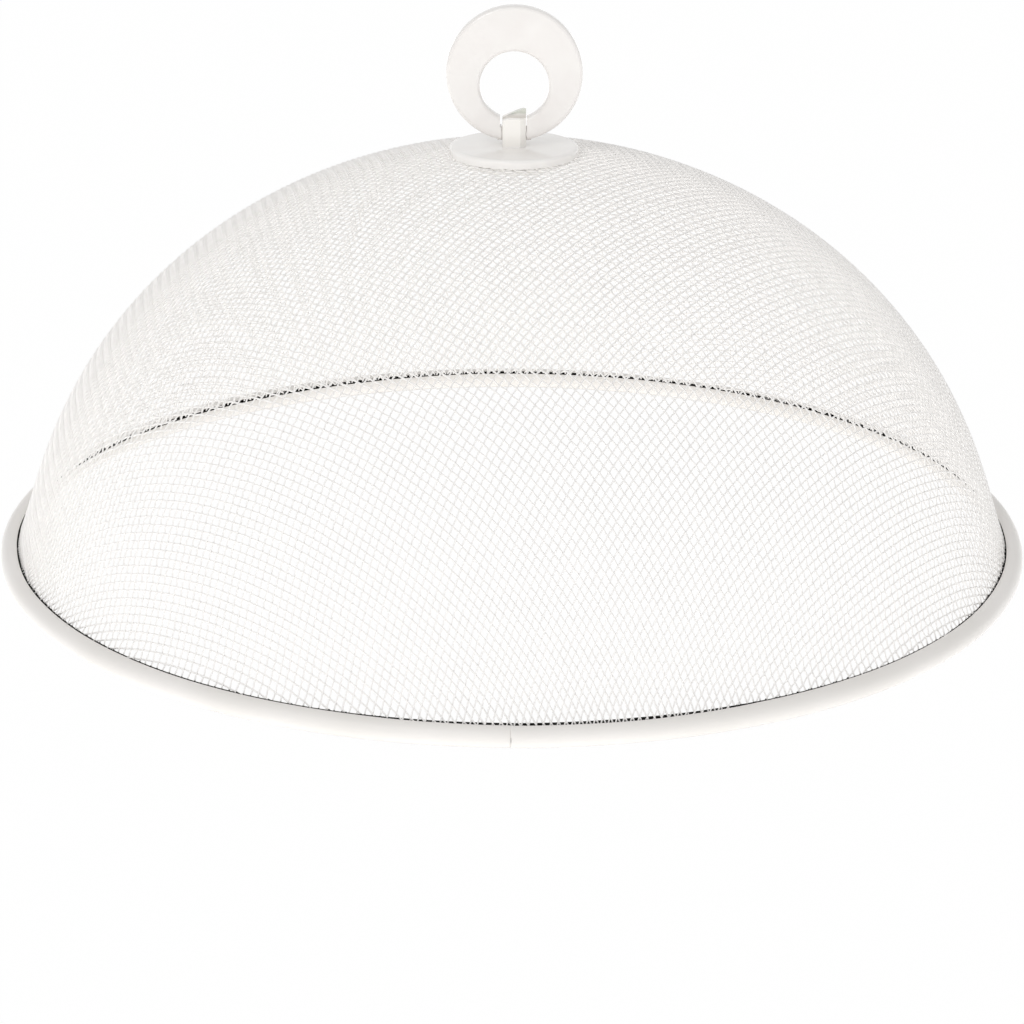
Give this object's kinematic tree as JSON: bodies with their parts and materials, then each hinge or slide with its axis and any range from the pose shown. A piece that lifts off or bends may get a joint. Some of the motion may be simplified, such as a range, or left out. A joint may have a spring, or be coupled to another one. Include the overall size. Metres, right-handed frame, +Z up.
{
  "type": "food cover",
  "caption": "Domed wire mesh food cover with a rolled rim and a flat ring handle that folds down on a round base at the top.",
  "frame": {"origin": "on the plane that the rim rests on, straight below the top of the dome", "axes": "+Z up through the top of the dome; +X along the bar that the ring handle folds about; the rim's lap joint faces -Y"},
  "size_m": [0.3, 0.3004, 0.1606],
  "materials": {
    "painted_steel": "satin white paint",
    "white_plastic": "smooth moulded white",
    "washer_plastic": "plain moulded white",
    "plated_steel": "bright zinc plate"
  },
  "bodies": {
    "cover": {"mesh_dome": "painted_steel", "rim": "painted_steel", "base_plate": "white_plastic", "backing_washer": "washer_plastic", "screw": "plated_steel"},
    "ring": {"ring_handle": "white_plastic"}
  },
  "joints": [
    {"name": "ring_fold", "type": "hinge", "parent": "cover", "child": "ring", "pos_m": [0, 0, 0.12402], "axis": [1, 0, 0], "range_deg": [-95, 95]}
  ]
}
